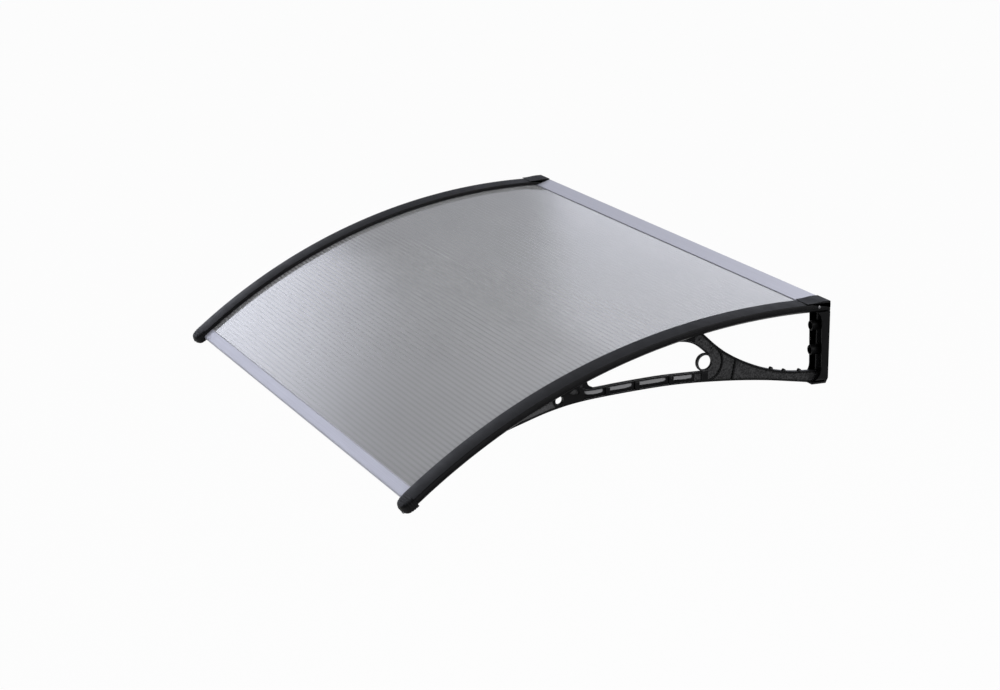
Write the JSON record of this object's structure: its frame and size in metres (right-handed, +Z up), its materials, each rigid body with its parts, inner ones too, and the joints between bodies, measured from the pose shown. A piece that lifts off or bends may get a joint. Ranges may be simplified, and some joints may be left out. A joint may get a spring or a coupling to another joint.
{
  "type": "polycarbonate door canopy",
  "caption": "Wall-hung door canopy with an arched twin-wall polycarbonate sheet in black moulded brackets and aluminium edge profiles.",
  "frame": {"origin": "middle of the canopy's width on the wall plane, at the mid-thickness of the sheet at the wall", "axes": "+X along the wall across the canopy, +Y into the wall, +Z up; the canopy reaches towards -Y"},
  "size_m": [1.2034, 0.7777, 0.2818],
  "materials": {
    "polycarbonate": "clear twin-wall sheet with fine flutes across the width, satin gloss",
    "black_plastic": "black injection-moulded plastic with a fine satin grain",
    "cover_plastic": "black moulded cover plastic, satin, slightly smoother than the bracket",
    "aluminium": "natural anodised extrusion with faint lines along its length",
    "rubber": "dark soft sealing strip",
    "screw_steel": "zinc-plated screw"
  },
  "bodies": {
    "root": {"bracket_left": "black_plastic", "bracket_right": "black_plastic", "clamp_screw_left_1": "screw_steel", "clamp_screw_left_2": "screw_steel", "clamp_screw_left_3": "screw_steel", "clamp_screw_left_4": "screw_steel", "clamp_screw_right_1": "screw_steel", "clamp_screw_right_2": "screw_steel", "clamp_screw_right_3": "screw_steel", "clamp_screw_right_4": "screw_steel", "cover_gasket_left": "rubber", "cover_gasket_right": "rubber", "cover_rail_left": "cover_plastic", "cover_rail_right": "cover_plastic", "front_cap_left": "cover_plastic", "front_cap_right": "cover_plastic", "front_cap_screw_left": "screw_steel", "front_cap_screw_right": "screw_steel", "front_profile": "aluminium", "front_profile_seal": "rubber", "polycarbonate_sheet": "polycarbonate", "wall_cap_left": "cover_plastic", "wall_cap_right": "cover_plastic", "wall_cap_screw_left": "screw_steel", "wall_cap_screw_right": "screw_steel", "wall_profile": "aluminium", "wall_profile_seal": "rubber"}
  },
  "joints": []
}
